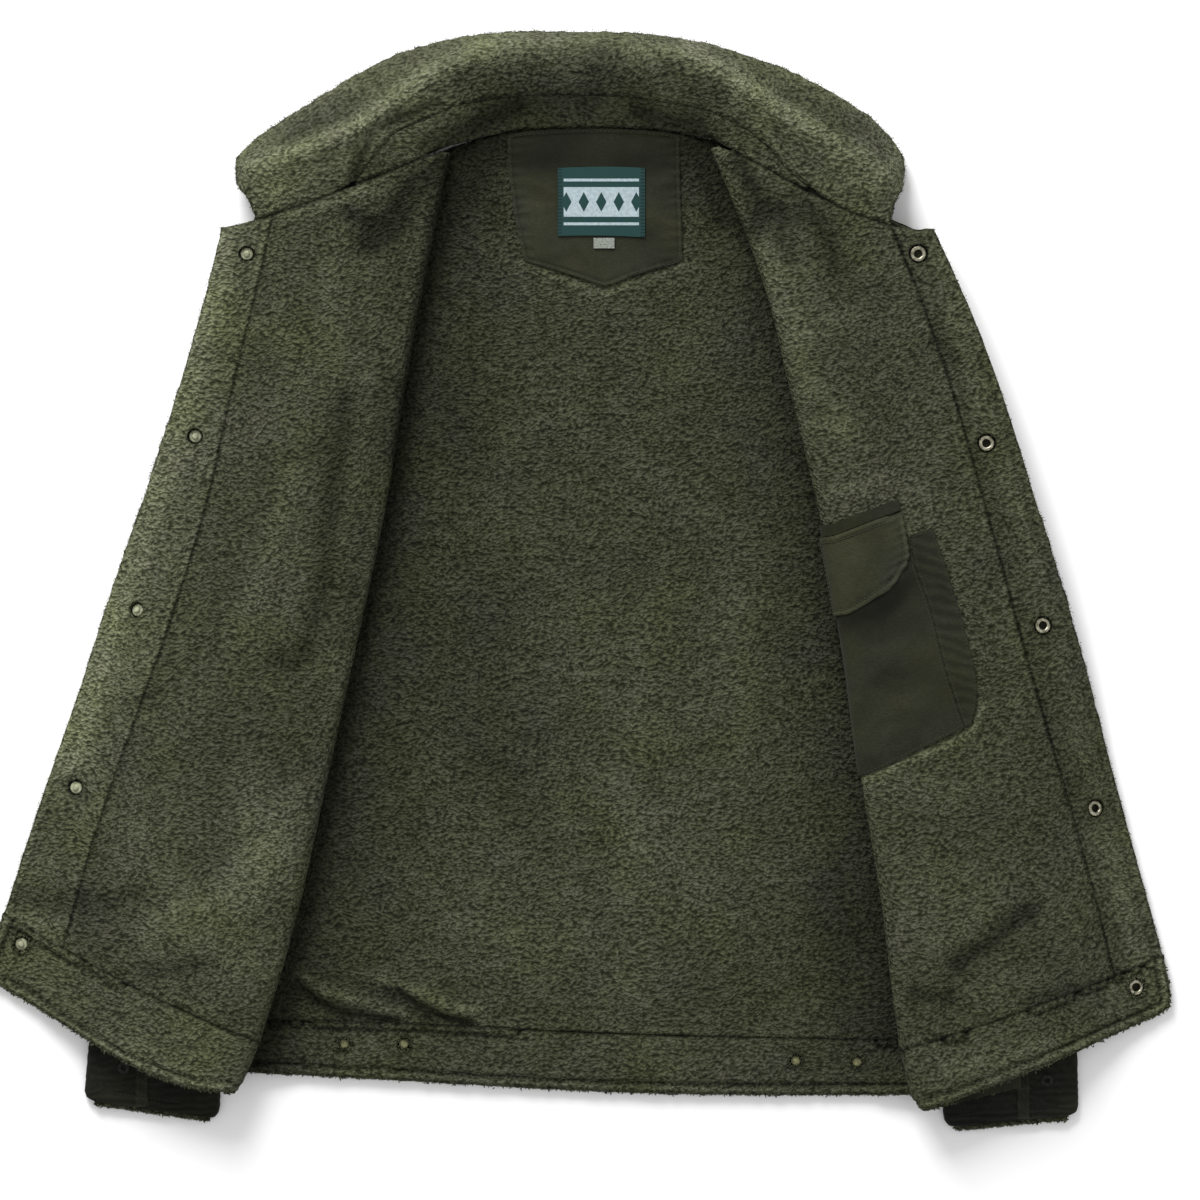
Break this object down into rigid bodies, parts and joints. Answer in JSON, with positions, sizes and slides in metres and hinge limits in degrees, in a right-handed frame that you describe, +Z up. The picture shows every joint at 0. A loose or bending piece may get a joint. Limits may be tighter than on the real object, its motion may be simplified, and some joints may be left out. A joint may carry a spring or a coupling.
{
  "type": "sherpa lined jacket",
  "caption": "Sherpa-lined canvas jacket laid open on its back, fronts turned out over the body, with pile collar, snap plackets, hem band and inner pocket.",
  "frame": {"origin": "under the middle of the jacket's box, on the surface that it lies on", "axes": "+Z up from the surface, +Y from the hem towards the collar, +X towards the wearer's left front"},
  "size_m": [0.86, 0.7924, 0.036],
  "materials": {
    "adjuster_stud_1": "brushed, pale",
    "adjuster_stud_2": "brushed, pale",
    "adjuster_stud_3": "brushed, pale",
    "adjuster_stud_4": "brushed, pale",
    "back_lining": "curly sherpa pile",
    "back_shell": "washed cotton canvas",
    "collar_fall": "curly sherpa pile",
    "collar_stand": "curly sherpa pile",
    "cuff_left": "washed cotton canvas",
    "cuff_lining_left": "curly sherpa pile",
    "cuff_lining_right": "curly sherpa pile",
    "cuff_right": "washed cotton canvas",
    "cuff_snap_left": "brushed, pale",
    "cuff_snap_right": "brushed, pale",
    "cuff_strip_left": "washed cotton canvas",
    "cuff_strip_right": "washed cotton canvas",
    "front_left_lining": "curly sherpa pile",
    "front_left_shell": "washed cotton canvas",
    "front_right_lining": "curly sherpa pile",
    "front_right_shell": "washed cotton canvas",
    "hem_band_back": "curly sherpa pile",
    "hem_band_left": "curly sherpa pile",
    "hem_band_right": "curly sherpa pile",
    "neck_patch": "washed cotton canvas",
    "placket_left": "curly sherpa pile",
    "placket_right": "curly sherpa pile",
    "pocket_bag": "washed cotton canvas",
    "pocket_binding": "washed cotton canvas",
    "pocket_flap": "washed cotton canvas",
    "pocket_side": "washed cotton canvas",
    "size_tab": "woven ribbon",
    "sleeve_left": "washed cotton canvas",
    "sleeve_right": "washed cotton canvas",
    "snap_post_1": "brushed, pale",
    "snap_post_2": "brushed, pale",
    "snap_post_3": "brushed, pale",
    "snap_post_4": "brushed, pale",
    "snap_post_5": "brushed, pale",
    "snap_socket_1": "brushed, pale",
    "snap_socket_2": "brushed, pale",
    "snap_socket_3": "brushed, pale",
    "snap_socket_4": "brushed, pale",
    "snap_socket_5": "brushed, pale",
    "under_collar": "washed cotton canvas",
    "woven_label": "woven satin"
  },
  "bodies": {
    "root": {"adjuster_stud_1": "adjuster_stud_1", "adjuster_stud_2": "adjuster_stud_2", "adjuster_stud_3": "adjuster_stud_3", "adjuster_stud_4": "adjuster_stud_4", "back_lining": "back_lining", "back_shell": "back_shell", "collar_fall": "collar_fall", "collar_stand": "collar_stand", "cuff_left": "cuff_left", "cuff_lining_left": "cuff_lining_left", "cuff_lining_right": "cuff_lining_right", "cuff_right": "cuff_right", "cuff_snap_left": "cuff_snap_left", "cuff_snap_right": "cuff_snap_right", "cuff_strip_left": "cuff_strip_left", "cuff_strip_right": "cuff_strip_right", "front_left_lining": "front_left_lining", "front_left_shell": "front_left_shell", "front_right_lining": "front_right_lining", "front_right_shell": "front_right_shell", "hem_band_back": "hem_band_back", "hem_band_left": "hem_band_left", "hem_band_right": "hem_band_right", "neck_patch": "neck_patch", "placket_left": "placket_left", "placket_right": "placket_right", "pocket_bag": "pocket_bag", "pocket_binding": "pocket_binding", "pocket_flap": "pocket_flap", "pocket_side": "pocket_side", "size_tab": "size_tab", "sleeve_left": "sleeve_left", "sleeve_right": "sleeve_right", "snap_post_1": "snap_post_1", "snap_post_2": "snap_post_2", "snap_post_3": "snap_post_3", "snap_post_4": "snap_post_4", "snap_post_5": "snap_post_5", "snap_socket_1": "snap_socket_1", "snap_socket_2": "snap_socket_2", "snap_socket_3": "snap_socket_3", "snap_socket_4": "snap_socket_4", "snap_socket_5": "snap_socket_5", "under_collar": "under_collar", "woven_label": "woven_label"}
  },
  "joints": []
}
